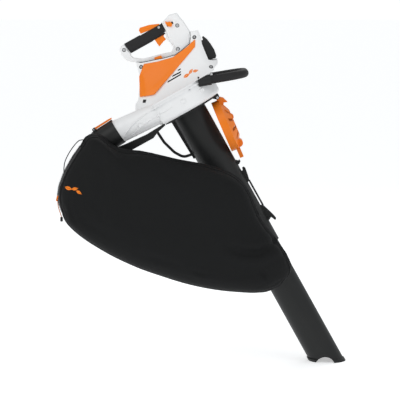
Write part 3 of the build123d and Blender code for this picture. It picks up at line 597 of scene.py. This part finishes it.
bagFolds = [  # creases on the near face: points, depth as a share, width
    ([(0.255, -0.632), (0.300, -0.650), (0.352, -0.654), (0.395, -0.637), (0.425, -0.604)], 2.1, 0.017),
    ([(-0.139, -0.330), (-0.128, -0.385), (-0.118, -0.440), (-0.105, -0.490)], 1.0, 0.028),
    ([(0.150, -0.705), (0.176, -0.716), (0.205, -0.720)], 0.9, 0.009),
    ([(0.360, -0.706), (0.372, -0.722), (0.380, -0.738)], 1.2, 0.010),
    ([(-0.215, -0.530), (-0.150, -0.572), (-0.070, -0.606)], 0.7, 0.024),
    ([(0.020, -0.380), (0.090, -0.412), (0.170, -0.434)], 0.7, 0.022),
    ([(-0.010, -0.655), (0.060, -0.674), (0.120, -0.694)], 0.6, 0.014),
]


def bagStations():  # Y and size of each ring, rounded off towards both faces
    stations = []
    for side, depth, power in ((1, bagShape["backDepth"], bagShape["backRound"]),
                               (-1, bagShape["frontDepth"], bagShape["frontRound"])):
        turns = [step / bagShape["rings"] for step in range(bagShape["rings"])]
        half = [(bagShape["seamY"] + side * depth * sin(pi / 2 * turn) ** power * 0.999,
                 cos(pi / 2 * turn) ** 0.55) for turn in turns]
        stations = half[::-1] + stations if side > 0 else stations + half[1:]
    return stations


def bagRingCurve(size, y, name):  # the outline as a closed smooth curve, drawn towards the middle
    ring = bpy.data.curves.new(name, "CURVE")
    ring.dimensions = "3D"
    ring.resolution_u = 6
    spline = ring.splines.new("BEZIER")
    spline.bezier_points.add(len(bagShape["outline"]) - 1)
    spline.use_cyclic_u = True
    midX, midZ = bagShape["middle"]
    for point, (x, z) in zip(spline.bezier_points, bagShape["outline"]):
        point.co = (midX + (x - midX) * size, y, midZ + (z - midZ) * size)
        point.handle_left_type = point.handle_right_type = "AUTO"
    piece = bpy.data.objects.new(name, ring)
    bpy.context.scene.collection.objects.link(piece)
    return piece


def closeEnd(bag, y, push):  # draws the last ring together into one point
    bpy.ops.object.mode_set(mode="OBJECT")
    for vertex in bag.data.vertices:
        vertex.select = abs(vertex.co.y - y) < 0.00001
    bpy.ops.object.mode_set(mode="EDIT")
    bpy.ops.mesh.select_mode(type="EDGE")
    bpy.ops.mesh.extrude_edges_move(TRANSFORM_OT_translate={"value": (0, push, 0)})
    bpy.ops.mesh.merge(type="CENTER")


def bagLoft():  # one ring of the outline, extruded and resized from station to station
    stations = bagStations()
    firstY, firstSize = stations[0]
    bag = bagRingCurve(firstSize, firstY, "bagRing")
    pick(bag)
    bpy.ops.object.convert(target="MESH")
    bag = bpy.context.object
    bpy.ops.object.mode_set(mode="EDIT")
    bpy.ops.mesh.select_mode(type="EDGE")
    bpy.ops.mesh.select_all(action="SELECT")
    bpy.ops.mesh.remove_doubles(threshold=0.0001)
    midX, midZ = bagShape["middle"]
    y, size = firstY, firstSize
    for nextY, nextSize in stations[1:]:
        bpy.ops.mesh.extrude_edges_move(TRANSFORM_OT_translate={"value": (0, nextY - y, 0)})
        share = nextSize / size
        bpy.ops.transform.resize(value=(share, 1, share), center_override=(midX, nextY, midZ))
        y, size = nextY, nextSize
    closeEnd(bag, y, -0.0004)
    closeEnd(bag, firstY, 0.0004)
    bpy.ops.mesh.select_all(action="SELECT")
    bpy.ops.mesh.normals_make_consistent(inside=False)
    bpy.ops.object.mode_set(mode="OBJECT")
    return bag


def inflateBag(bag):  # the shell is blown up a little by cloth simulation, held where it is sewn and hung
    before = [vertex.co.copy() for vertex in bag.data.vertices]
    neckLow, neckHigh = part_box("bag_ring")
    neck = (neckLow + neckHigh) / 2
    held = bag.vertex_groups.new(name="held")
    for vertex in bag.data.vertices:
        nearNeck = max(0.0, 1 - (vertex.co - neck).length / inflation["neckReach"])
        offSeam = abs(vertex.co.y - bagShape["seamY"]) / inflation["seamReach"]
        onSeam = inflation["seamHold"] * max(0.0, 1 - offSeam)
        held.add([vertex.index], min(1.0, max(nearNeck, onSeam)), "REPLACE")
    pick(bag)
    cloth = bag.modifiers.new("cloth", "CLOTH")
    for key, value in bagClothSettings.items():
        setattr(cloth.settings, key, value)
    cloth.settings.vertex_group_mass = held.name
    cloth.settings.effector_weights.gravity = inflation["gravity"]
    cloth.collision_settings.use_collision = False
    scene = bpy.context.scene
    for step in range(1, inflation["steps"] + 1):
        scene.frame_set(step)
    bpy.ops.object.modifier_apply(modifier=cloth.name)
    scene.frame_set(1)
    for vertex, start in zip(bag.data.vertices, before):
        move = vertex.co - start
        if move.length > inflation["mostMove"]:
            vertex.co = start + move.normalized() * inflation["mostMove"]


def distanceToLine(x, z, line):  # how far a point lies from a run of segments, and how far along it
    best, place = 1.0, 0.0
    for index, (start, end) in enumerate(zip(line, line[1:])):
        dx, dz = end[0] - start[0], end[1] - start[1]
        share = ((x - start[0]) * dx + (z - start[1]) * dz) / (dx * dx + dz * dz)
        share = min(1.0, max(0.0, share))
        far = ((x - start[0] - share * dx) ** 2 + (z - start[1] - share * dz) ** 2) ** 0.5
        if far < best:
            best, place = far, (index + share) / (len(line) - 1)
    return best, place


def foldBag(bag):  # presses the creases into the near face, with a soft lip beside each
    for vertex in bag.data.vertices:
        if vertex.co.y > -0.16:
            continue
        push = 0.0
        for line, share, width in bagFolds:
            far, place = distanceToLine(vertex.co.x, vertex.co.z, line)
            if far < 3 * width:
                ends = sin(pi * min(1.0, max(0.0, 0.08 + 0.84 * place)))
                dip = max(0.0, 1 - far / width)
                lip = max(0.0, 1 - abs(far - 1.6 * width) / width)
                push += share * ends * (dip * dip * (3 - 2 * dip) - 0.35 * lip)
        vertex.co += vertex.normal * (-bagShape["foldDepth"] * push)


def mapCloth(piece):  # a map in metres, so that the weave keeps its size on every side
    pick(piece)
    while piece.data.uv_layers:
        piece.data.uv_layers.remove(piece.data.uv_layers[0])
    piece.data.uv_layers.new(name="clothMap")
    bpy.ops.object.mode_set(mode="EDIT")
    bpy.ops.mesh.select_all(action="SELECT")
    bpy.ops.uv.cube_project(cube_size=1.0, correct_aspect=False)
    bpy.ops.object.mode_set(mode="OBJECT")


def makeBag():
    bag = bagLoft()
    useModifier(bag, "REMESH", mode="VOXEL", voxel_size=bagShape["meshSize"])
    inflateBag(bag)
    useModifier(bag, "SUBSURF", levels=1, render_levels=1)
    foldBag(bag)
    useModifier(bag, "SMOOTH", factor=0.5, iterations=3)
    pick(bag)
    bpy.ops.object.shade_smooth()
    mapCloth(bag)
    bag.name = "catcherBagShell"
    bag.data.name = bag.name
    bag.data.materials.clear()
    bag.data.materials.append(finishes["bag_fabric"])
    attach(bag, "root")
    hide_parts("catcher_bag")
    return bag


catcherBag = makeBag()
print("bag made,", len(catcherBag.data.polygons), "faces")


# finding surfaces
def treeOf(*pieces):  # one search tree over several meshes, all in place
    points, faces = [], []
    for piece in pieces:
        start = len(points)
        points += [vertex.co for vertex in piece.data.vertices]
        faces += [[start + index for index in face.vertices] for face in piece.data.polygons]
    return BVHTree.FromPolygons(points, faces)


def onTree(tree, point, direction):  # where a ray from outside meets the surface, and the surface's normal
    direction = Vector(direction).normalized()
    place, normal, _, _ = tree.ray_cast(Vector(point) - direction * 0.6, direction)
    if place is None:
        place, normal, _, _ = tree.find_nearest(Vector(point))
    return place, (normal if normal.dot(direction) < 0 else -normal)


def tubeAlong(name, points, radius, material, body="root", cyclic=False):
    line = bpy.data.curves.new(name, "CURVE")
    line.dimensions = "3D"
    line.bevel_depth = radius
    line.bevel_resolution = 2
    line.use_fill_caps = not cyclic
    line.resolution_u = 4
    spline = line.splines.new("BEZIER")
    spline.bezier_points.add(len(points) - 1)
    spline.use_cyclic_u = cyclic
    for point, place in zip(spline.bezier_points, points):
        point.co = place
        point.handle_left_type = point.handle_right_type = "AUTO"
    piece = bpy.data.objects.new(name, line)
    bpy.context.scene.collection.objects.link(piece)
    pick(piece)
    bpy.ops.object.convert(target="MESH")
    return settle(bpy.context.object, name, body, material, 50)


bagTree = treeOf(catcherBag)
bagMiddle = Vector((bagShape["middle"][0], bagShape["seamY"], bagShape["middle"][1]))


# seams, zipper and cuff of the bag
cuffShape = {"height": 0.030, "drop": 0.012, "pleats": 24, "pleatDepth": 0.022, "flare": 0.05}
zipper = {"startShare": 0.045, "endShare": 0.30, "teeth": 92, "tapeWidth": 0.024, "toothSize": 0.0032}


def outlinePoint(share):  # a point of the bag's outline, by share of its corners
    outline = bagShape["outline"]
    place = (share % 1.0) * len(outline)
    index = int(place)
    four = [Vector((*outline[(index + step) % len(outline)], 0)) for step in (-1, 0, 1, 2)]
    t = place - index
    bend = 2 * four[0] - 5 * four[1] + 4 * four[2] - four[3]
    twist = 3 * four[1] - four[0] - 3 * four[2] + four[3]
    smooth = 0.5 * (2 * four[1] + (four[2] - four[0]) * t + bend * t * t + twist * t ** 3)
    return smooth.x, smooth.y


def skinPoint(share, y, lift):  # a point on the bag's rim, and the way out from it
    x, z = outlinePoint(share)
    centre = Vector((bagMiddle.x, y, bagMiddle.z))
    inward = (centre - Vector((x, y, z))).normalized()
    place, _, _, _ = bagTree.ray_cast(Vector((x, y, z)) - inward * 0.08, inward)
    if place is None:
        place = Vector((x, y, z))
    return place - inward * lift, -inward


def makePiping():  # corded seams where the side panels meet the gusset
    for name, y in (("bagSeamNear", -0.176), ("bagSeamFar", -0.112)):
        points = [skinPoint(step / 110, y, 0.0004)[0] for step in range(110)]
        tubeAlong(name, points, 0.0016, finishes["bag_fabric"], cyclic=True)


def makeZipper():
    spread = zipper["endShare"] - zipper["startShare"]
    shares = [zipper["startShare"] + spread * step / (zipper["teeth"] - 1) for step in range(zipper["teeth"])]
    tape = bpy.data.meshes.new("zipperTape")
    rows, faces = [], []
    across = [-0.5, -0.25, -0.05, 0.05, 0.25, 0.5]
    for share in shares[::2]:
        for offset in across:
            lift = 0.0012 if abs(offset) < 0.1 else 0.0006
            rows.append(skinPoint(share, bagShape["seamY"] + offset * zipper["tapeWidth"], lift)[0])
    count = len(across)
    for row in range(len(rows) // count - 1):
        for column in range(count - 1):
            corner = row * count + column
            faces.append((corner, corner + 1, corner + count + 1, corner + count))
    tape.from_pydata(rows, [], faces)
    strip = bpy.data.objects.new("zipperTape", tape)
    bpy.context.scene.collection.objects.link(strip)
    useModifier(strip, "SOLIDIFY", thickness=0.0009, offset=0)
    settle(strip, "zipperTape", "root", finishes["cord_black"], 60)
    dropSelection()
    bpy.ops.mesh.primitive_cube_add(size=1)
    first = bpy.context.object
    teeth = []
    for index, share in enumerate(shares):
        place, outward = skinPoint(share, bagShape["seamY"], 0.0022)
        tooth = bpy.data.objects.new("zipperTooth", first.data.copy())
        bpy.context.scene.collection.objects.link(tooth)
        tooth.scale = (zipper["toothSize"], zipper["toothSize"] * 1.7, zipper["toothSize"] * 0.55)
        tooth.rotation_euler = (0, atan2(outward.z, -outward.x), 0)
        tooth.location = place + Vector((0, 0.0011 if index % 2 else -0.0011, 0))
        teeth.append(tooth)
    bpy.data.objects.remove(first)
    dropSelection()
    for tooth in teeth:
        tooth.select_set(True)
    bpy.context.view_layer.objects.active = teeth[0]
    bpy.ops.object.join()
    chain = bpy.context.object
    useModifier(chain, "BEVEL", width=0.0004, segments=1)
    settle(chain, "zipperTeeth", "root", finishes["black_plastic"], 30)


def makeCuff():  # the gathered hem of the bag's neck under the clamp ring
    low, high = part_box("bag_ring")
    middle = (low + high) / 2
    radius = (high.x - low.x) / 2 + 0.001
    start = (middle.x, middle.y, low.z - cuffShape["drop"])
    bpy.ops.mesh.primitive_cylinder_add(
        vertices=96, radius=radius, depth=cuffShape["height"], end_fill_type="NOTHING", location=start)
    cuff = bpy.context.object
    pick(cuff)
    bpy.ops.object.transform_apply(location=True, rotation=True, scale=True)
    bpy.ops.object.mode_set(mode="EDIT")
    bpy.ops.mesh.select_all(action="SELECT")
    bpy.ops.mesh.subdivide(number_cuts=3)
    bpy.ops.object.mode_set(mode="OBJECT")
    for vertex in cuff.data.vertices:  # pleats deepen away from the ring
        angle = atan2(vertex.co.y - middle.y, vertex.co.x - middle.x)
        deep = max(0.0, min(1.0, (low.z + 0.002 - vertex.co.z) / 0.028))
        pleat = cuffShape["pleatDepth"] * sin(cuffShape["pleats"] * angle)
        swell = 1 + deep * pleat + cuffShape["flare"] * deep
        vertex.co.x = middle.x + (vertex.co.x - middle.x) * swell
        vertex.co.y = middle.y + (vertex.co.y - middle.y) * swell
    useModifier(cuff, "SOLIDIFY", thickness=0.0018, offset=1)
    useModifier(cuff, "SUBSURF", levels=1, render_levels=1)
    settle(cuff, "bagNeckCuff", "root", finishes["bag_fabric"], 60)
    mapCloth(cuff)


makePiping()
makeZipper()
makeCuff()
print("bag seams, zipper and cuff made")


# leaf emblems
emblems = {
    "bagLeafEmblem": {
        "start": (-0.241, -0.452), "turn": -13, "length": 0.062, "leaf": 0.025, "width": 0.0048,
        "lift": 0.0005},
    "coverLeafEmblem": {
        "start": (0.040, -0.1655), "turn": 4, "length": 0.056, "leaf": 0.023, "width": 0.0044,
        "lift": 0.0002},
}


def halfBlade(length, width, side):  # one half of a leaf beside its midrib, in the XZ plane
    bpy.ops.mesh.primitive_grid_add(x_subdivisions=12, y_subdivisions=4, size=1)
    blade = bpy.context.object
    for vertex in blade.data.vertices:
        along = vertex.co.x + 0.5
        out = (vertex.co.y + 0.5) * width * sin(pi * along) * (1.4 - 0.8 * along)
        vertex.co = (along * length, 0, side * (0.0004 + out))
    return blade


def makeEmblem(name, target, tip):  # three leaves along a stem, laid on a surface
    shape = emblems[name]
    dropSelection()
    parts = []
    for place, turn, size in ((0.0, 0, 1.0), (0.36, 22, 0.85), (0.60, -18, 0.8)):
        for side in (1, -1):
            blade = halfBlade(shape["leaf"] * size, shape["width"] * size, side)
            root = Vector((place * shape["length"], 0, 0))
            blade.matrix_world = Matrix.Translation(root) @ Matrix.Rotation(-radians(turn), 4, "Y")
            parts.append(blade)
    for blade in parts:
        blade.select_set(True)
    bpy.context.view_layer.objects.active = parts[0]
    bpy.ops.object.join()
    emblem = bpy.context.object
    spot = Matrix.Translation((shape["start"][0], -0.30, shape["start"][1]))
    turned = spot @ Matrix.Rotation(-radians(shape["turn"]), 4, "Y")
    emblem.matrix_world = (tipBack @ turned if tip else turned) @ emblem.matrix_world
    bpy.ops.object.transform_apply(location=True, rotation=True, scale=True)
    useModifier(emblem, "SHRINKWRAP", target=target, wrap_method="PROJECT", use_project_y=True,
                use_project_z=False, use_positive_direction=True, use_negative_direction=False,
                offset=shape["lift"])
    useModifier(emblem, "SOLIDIFY", thickness=0.0006, offset=0)
    return settle(emblem, name, "root", finishes["orange_plastic"], 30)


makeEmblem("bagLeafEmblem", catcherBag, False)
makeEmblem("coverLeafEmblem", cadNodes["motor_cover_near"], True)
print("emblems made")


# orange side panels with their crease
panelCrease = {
    "line": [(-0.111, -0.153), (-0.060, -0.143), (-0.009, -0.131), (0.030, -0.118)],
    "height": 0.0080, "reach": 0.045, "meshSize": 0.0015,
}


def makePanel(node, name, side):  # the moulding from the CAD skin, with a ridge raised along the crease
    source = cadNodes[node]
    panel = bpy.data.objects.new(name, source.data.copy())
    bpy.context.scene.collection.objects.link(panel)
    pick(panel)
    bpy.ops.object.mode_set(mode="EDIT")
    bpy.ops.mesh.select_all(action="SELECT")
    bpy.ops.mesh.remove_doubles(threshold=0.00002)
    bpy.ops.object.mode_set(mode="OBJECT")
    useModifier(panel, "REMESH", mode="VOXEL", voxel_size=panelCrease["meshSize"])
    upright = tipBack.inverted()
    for vertex in panel.data.vertices:
        here = upright @ vertex.co
        far, place = distanceToLine(here.x, here.z, panelCrease["line"])
        ends = min(1.0, 1.6 * (1 - place), 0.25 + 2.2 * place)
        rise = panelCrease["height"] * max(0.0, 1 - far / panelCrease["reach"]) * max(0.0, ends)
        outer = 1.0 if vertex.normal.y * side > 0.2 else 0.0
        vertex.co.y += side * rise * outer
    useModifier(panel, "SMOOTH", factor=0.5, iterations=2)
    settle(panel, name, "root", finishes["orange_plastic"], 28)
    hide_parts(node)


makePanel("side_panel_near", "sidePanelNear", -1)
makePanel("side_panel_far", "sidePanelFar", 1)
print("side panels made")


# seams, ribs and small mouldings of the casing, with dark pieces laid as painted shade in the vent slots and
# screw pockets
casing = {
    "seam": [(-0.070, -0.0535), (-0.050, -0.0632), (-0.021, -0.0724), (0.010, -0.0824), (0.049, -0.0920),
             (0.073, -0.0905), (0.107, -0.0825), (0.1225, -0.0615), (0.1262, -0.0530)],
    "ductRib": [(-0.062, -0.2035), (-0.087, -0.2038), (-0.118, -0.2062), (-0.150, -0.2105), (-0.176, -0.2180),
                (-0.196, -0.2262), (-0.213, -0.2350)],
    "ductStep": [(-0.030, -0.2275), (-0.075, -0.2280), (-0.120, -0.2300), (-0.155, -0.2350),
                 (-0.185, -0.2425), (-0.205, -0.2480)],
    "clips": [-0.147, -0.085, 0.005, 0.070],
    "clipHeight": -0.2275, "clipSize": (0.015, 0.0060, 0.012),
    # vent slot lines, where dark tubes are laid as painted shade
    "vents": [
        [(-0.008, -0.1540), (0.034, -0.1531)],
        [(0.014, -0.1456), (0.038, -0.1466)],
        [(0.0365, -0.1380), (0.0425, -0.1382)]],
    "ventDepth": 0.043, "ventRadius": 0.0042,
    "gasketRadius": 0.0009, "jointRadius": 0.0019, "stepRadius": 0.0011,
}
# screw pockets that get dark rings as painted shade
screwWells = {
    "places": [
        (-0.084, -0.001), (0.100, -0.015), (0.066, -0.080),
        (-0.062, -0.073), (0.1295, -0.073), (0.131, -0.178)],
    "radius": 0.0062, "rim": 0.0019, "height": 0.0016, "feelerRadius": 0.0052,
}


def spreadAlong(line, spacing):  # points at an even spacing along a run of straight pieces
    points = []
    for start, end in zip(line, line[1:]):
        start, end = Vector((start[0], 0, start[1])), Vector((end[0], 0, end[1]))
        steps = max(1, round((end - start).length / spacing))
        points += [start.lerp(end, step / steps) for step in range(steps)]
    return points + [Vector((line[-1][0], 0, line[-1][1]))]


def layOnCasing(tree, line, side, spacing, lift):
    points = []
    for point in spreadAlong(line, spacing):
        place, normal = onTree(tree, tipBack @ point + Vector((0, side * 0.02, 0)), (0, -side, 0))
        points.append(place + normal * lift)
    return points


def makeSeams():
    casingTree = treeOf(cadNodes["motor_cover_near"], cadNodes["motor_cover_far"])
    for name, side in (("seamGasketNear", -1), ("seamGasketFar", 1)):
        points = layOnCasing(casingTree, casing["seam"], side, 0.010, 0.0)
        tubeAlong(name, points, casing["gasketRadius"], finishes["black_plastic"])
    for side in (-1, 1):
        # painted shade: dark tubes laid deep in each vent slot stand in for the shade inside it
        for line in casing["vents"]:
            depth = Vector((0, side * casing["ventDepth"], 0))
            points = [tipBack @ point + depth for point in spreadAlong(line, 0.012)]
            tubeAlong("ventSlotShade", points, casing["ventRadius"], finishes["black_plastic"])
    housingTree = treeOf(cadNodes["fan_housing_upper"], cadNodes["fan_housing_lower"], cadNodes["fan_flange"])
    joint = layOnCasing(housingTree, casing["ductRib"], -1, 0.012, 0.0003)
    step = layOnCasing(housingTree, casing["ductStep"], -1, 0.012, 0.0)
    tubeAlong("ductJointRib", joint, casing["jointRadius"], finishes["white_plastic"])
    tubeAlong("ductStepRib", step, casing["stepRadius"], finishes["white_plastic"])
    return housingTree


def makeClips(tree):  # snap hooks that close the housing's split line
    dropSelection()
    hooks = []
    for x in casing["clips"]:
        spot = tipBack @ Vector((x, 0, casing["clipHeight"]))
        place, normal = onTree(tree, spot, (0, 1, 0))
        bpy.ops.mesh.primitive_cube_add(size=1)
        hook = bpy.context.object
        bpy.ops.object.mode_set(mode="EDIT")
        bpy.ops.transform.resize(value=casing["clipSize"])
        bpy.ops.object.mode_set(mode="OBJECT")
        pickFaces(hook, lambda face: face.normal.y < -0.9)
        bpy.ops.mesh.inset(thickness=0.0016)
        bpy.ops.transform.translate(value=(0, 0.0011, 0))
        bpy.ops.object.mode_set(mode="OBJECT")
        lean = Matrix.Rotation(atan2(normal.x, -normal.y), 4, "Z")
        hook.matrix_world = Matrix.Translation(place) @ lean @ leanBack
        hooks.append(hook)
    dropSelection()
    for hook in hooks:
        hook.select_set(True)
    bpy.context.view_layer.objects.active = hooks[0]
    bpy.ops.object.join()
    clips = bpy.context.object
    useModifier(clips, "BEVEL", width=0.0006, segments=2)
    settle(clips, "housingSnapHooks", "root", finishes["white_plastic"])


def makeScrewWellShade():  # painted shade: dark liner rings laid in the mouths of the screw pockets
    wellTree = treeOf(cadNodes["motor_cover_near"], cadNodes["handle_shell_near"])
    dropSelection()
    wells = []
    feeler = screwWells["feelerRadius"]
    for x, z in screwWells["places"]:
        around = [onTree(wellTree, tipBack @ Vector((x + feeler * cos(a), 0, z + feeler * sin(a))), (0, 1, 0))
                  for a in (0, pi / 2, pi, 3 * pi / 2)]
        place = sum((spot for spot, _ in around), Vector()) / 4
        normal = sum((facing for _, facing in around), Vector()).normalized()
        bpy.ops.mesh.primitive_circle_add(vertices=28, radius=screwWells["radius"], fill_type="NGON")
        well = bpy.context.object
        bpy.ops.object.mode_set(mode="EDIT")
        bpy.ops.mesh.select_all(action="SELECT")
        bpy.ops.mesh.inset(thickness=screwWells["rim"])
        bpy.ops.mesh.delete(type="FACE")
        bpy.ops.mesh.select_all(action="SELECT")
        bpy.ops.mesh.extrude_region_move(TRANSFORM_OT_translate={"value": (0, 0, screwWells["height"])})
        bpy.ops.object.mode_set(mode="OBJECT")
        sunk = Matrix.Translation(place - normal * screwWells["height"] / 2)
        well.matrix_world = sunk @ normal.to_track_quat("Z", "Y").to_matrix().to_4x4()
        wells.append(well)
    for well in wells:
        well.select_set(True)
    bpy.context.view_layer.objects.active = wells[0]
    bpy.ops.object.join()
    wellShade = bpy.context.object
    bpy.ops.object.mode_set(mode="EDIT")
    bpy.ops.mesh.select_all(action="SELECT")
    bpy.ops.mesh.normals_make_consistent(inside=False)
    bpy.ops.object.mode_set(mode="OBJECT")
    useModifier(wellShade, "BEVEL", width=0.0004, segments=2)
    settle(wellShade, "screwWellShade", "root", finishes["black_plastic"])


def makeCoverCatch():  # the dark catch at the lower corner of the near cover
    catchTree = treeOf(cadNodes["motor_cover_near"])
    place, normal = onTree(catchTree, tipBack @ Vector((-0.103, 0, -0.171)), (0, 1, 0))
    bpy.ops.mesh.primitive_cube_add(size=1)
    catch = bpy.context.object
    bpy.ops.object.mode_set(mode="EDIT")
    bpy.ops.transform.resize(value=(0.011, 0.010, 0.0032))
    bpy.ops.object.mode_set(mode="OBJECT")
    pickFaces(catch, lambda face: face.normal.z > 0.9)
    bpy.ops.mesh.inset(thickness=0.0018)
    bpy.ops.mesh.extrude_region_move(TRANSFORM_OT_translate={"value": (0, 0, -0.0012)})
    bpy.ops.object.mode_set(mode="OBJECT")
    facing = normal.to_track_quat("Z", "Y").to_matrix().to_4x4()
    catch.matrix_world = Matrix.Translation(place) @ facing
    useModifier(catch, "BEVEL", width=0.0005, segments=2)
    settle(catch, "coverCatch", "root", finishes["black_plastic"])


housingTree = makeSeams()
makeClips(housingTree)
makeScrewWellShade()
makeCoverCatch()
print("casing details made")


print("pieces ready, finishing")
